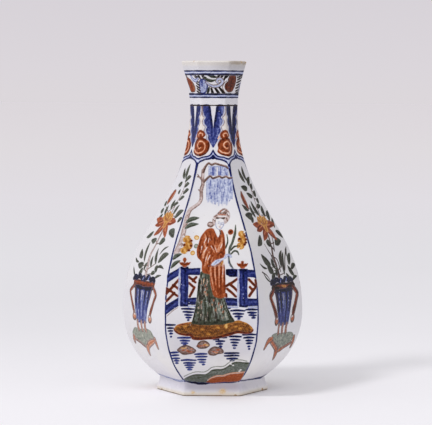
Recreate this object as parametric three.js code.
// A six-sided faience bottle vase in millimetres, +Z up, with its origin under the middle of the foot.
//
// The potter pressed the vase in separate rings of clay and luted them with slip: a foot ring, a base,
// the lower and the upper half of the belly, a neck and a flared mouth. Each ring is a solid of its own
// here. They meet face to face on level joints, and all of them are cut from one hexagonal profile.
import * as THREE from 'three';

// Height of each ring of clay, from the table up
const footHeight = 10.8;
const baseHeight = 6.2;
const lowerBodyHeight = 47;
const upperBodyHeight = 123;
const neckHeight = 37;
const mouthHeight = 37.4;

// Outside radius at a corner of the hexagon, from the table up
const footRadius = 44.5;
const ankleRadius = 41.7;
const bellyRadius = 71.3;
const throatRadius = 18.7;
const lipRadius = 25.9;

// How far each curve of the profile runs on along its end's direction
const footFlare = 4.4;
const ankleRun = 15;
const bellyDrop = 28.4;
const bellyRise = 69;
const throatDrop = 79;
const throatRise = 14;
const lipRun = 10.4;

// Direction in which the wall leaves the ankle and the lip, above the horizontal
const ankleAngle = THREE.MathUtils.degToRad(36);
const lipAngle = THREE.MathUtils.degToRad(74);

// Thickness of the clay, measured square to the wall
const footWall = 9;
const bodyWall = 6;
const neckWall = 5;
const lipWall = 3.8;

// The underside of the foot ring leans inwards by this much towards the base
const footLean = 2.5;

const sides = 6;
const apothemShare = Math.cos(Math.PI / sides);
const rowSpacing = 5;

// Heights of the joints
const footJoint = footHeight;
const baseJoint = footJoint + baseHeight;
const bellyJoint = baseJoint + lowerBodyHeight;
const neckJoint = bellyJoint + upperBodyHeight;
const mouthJoint = neckJoint + neckHeight;
const overallHeight = mouthJoint + mouthHeight;

function curve(start, afterStart, beforeEnd, end) {
  return new THREE.CubicBezierCurve(start, afterStart, beforeEnd, end);
}

function point(radius, height) {
  return new THREE.Vector2(radius, height);
}

function along(radius, height, angle, run) {
  return point(radius + run * Math.cos(angle), height + run * Math.sin(angle));
}

// The outside corner of the hexagon as four curves that follow on from each other
const profile = [
  curve(
    point(footRadius, 0),
    point(footRadius, footFlare),
    point(ankleRadius, footJoint - footFlare),
    point(ankleRadius, footJoint),
  ),
  curve(
    point(ankleRadius, footJoint),
    along(ankleRadius, footJoint, ankleAngle, ankleRun),
    point(bellyRadius, bellyJoint - bellyDrop),
    point(bellyRadius, bellyJoint),
  ),
  curve(
    point(bellyRadius, bellyJoint),
    point(bellyRadius, bellyJoint + bellyRise),
    point(throatRadius, mouthJoint - throatDrop),
    point(throatRadius, mouthJoint),
  ),
  curve(
    point(throatRadius, mouthJoint),
    point(throatRadius, mouthJoint + throatRise),
    along(lipRadius, overallHeight, lipAngle, -lipRun),
    point(lipRadius, overallHeight),
  ),
];

// Each curve rises steadily, so halving finds where it passes a height
function shareAtHeight(part, height) {
  let low = 0;
  let high = 1;
  for (let step = 0; step < 40; step += 1) {
    const middle = (low + high) / 2;
    if (part.getPoint(middle).y < height) low = middle;
    else high = middle;
  }
  return (low + high) / 2;
}

function curveAtHeight(height) {
  return profile.find((part) => height <= part.v3.y) ?? profile.at(-1);
}

function outerRadius(height) {
  const part = curveAtHeight(height);
  return part.getPoint(shareAtHeight(part, height)).x;
}

// A wall that leans is cut wider across, because its thickness is square to its face
function leanFactor(height) {
  const part = curveAtHeight(height);
  const direction = part.getTangent(shareAtHeight(part, height));
  return direction.length() / direction.y;
}

function wallThickness(height) {
  const { mapLinear } = THREE.MathUtils;
  if (height <= bellyJoint) return bodyWall;
  if (height <= neckJoint) return mapLinear(height, bellyJoint, neckJoint, bodyWall, neckWall);
  return mapLinear(height, neckJoint, overallHeight, neckWall, lipWall);
}

function innerRadius(height) {
  return outerRadius(height) - (wallThickness(height) * leanFactor(height)) / apothemShare;
}

// Evenly spaced heights from the lower to the upper joint, with both joints exactly in place
function rows(from, to) {
  const count = Math.max(1, Math.ceil((to - from) / rowSpacing));
  return Array.from({ length: count + 1 }, (_, row) => (
    row === count ? to : from + ((to - from) * row) / count
  ));
}

function outerEdge(from, to) {
  return rows(from, to).map((height) => point(outerRadius(height), height));
}

function innerEdge(from, to) {
  return rows(from, to).map((height) => point(innerRadius(height), height)).reverse();
}

// Sweeps an outline round the axis in six flat sides, with corners on the X axis
function hexagonal(outline) {
  const geometry = new THREE.LatheGeometry(outline, sides, Math.PI / sides, 2 * Math.PI);
  return geometry.rotateX(Math.PI / 2);
}

function wallRing(from, to) {
  const outer = outerEdge(from, to);
  return hexagonal([...outer, ...innerEdge(from, to), outer[0]]);
}

function footRing() {
  const outer = outerEdge(0, footJoint);
  const innerAtTable = footRadius - footWall / apothemShare;
  const innerAtBase = innerAtTable - footLean / apothemShare;
  return hexagonal([...outer, point(innerAtBase, footJoint), point(innerAtTable, 0), outer[0]]);
}

function baseDisc() {
  return hexagonal([point(0, footJoint), ...outerEdge(footJoint, baseJoint), point(0, baseJoint)]);
}

const tinGlaze = { color: 0xe6e2e5, roughness: 0.22, metalness: 0 };
const wornFoot = { color: 0xdcd6d2, roughness: 0.4, metalness: 0 };
const wornLip = { color: 0xe3dcd4, roughness: 0.3, metalness: 0 };

function clayRing(name, geometry, finish) {
  const mesh = new THREE.Mesh(geometry, new THREE.MeshStandardMaterial(finish));
  mesh.name = name;
  return mesh;
}

const vase = new THREE.Group();
vase.name = 'vase';
vase.add(
  clayRing('foot_ring', footRing(), wornFoot),
  clayRing('base', baseDisc(), tinGlaze),
  clayRing('lower_body', wallRing(baseJoint, bellyJoint), tinGlaze),
  clayRing('upper_body', wallRing(bellyJoint, neckJoint), tinGlaze),
  clayRing('neck', wallRing(neckJoint, mouthJoint), tinGlaze),
  clayRing('mouth', wallRing(mouthJoint, overallHeight), wornLip),
);

export default vase;
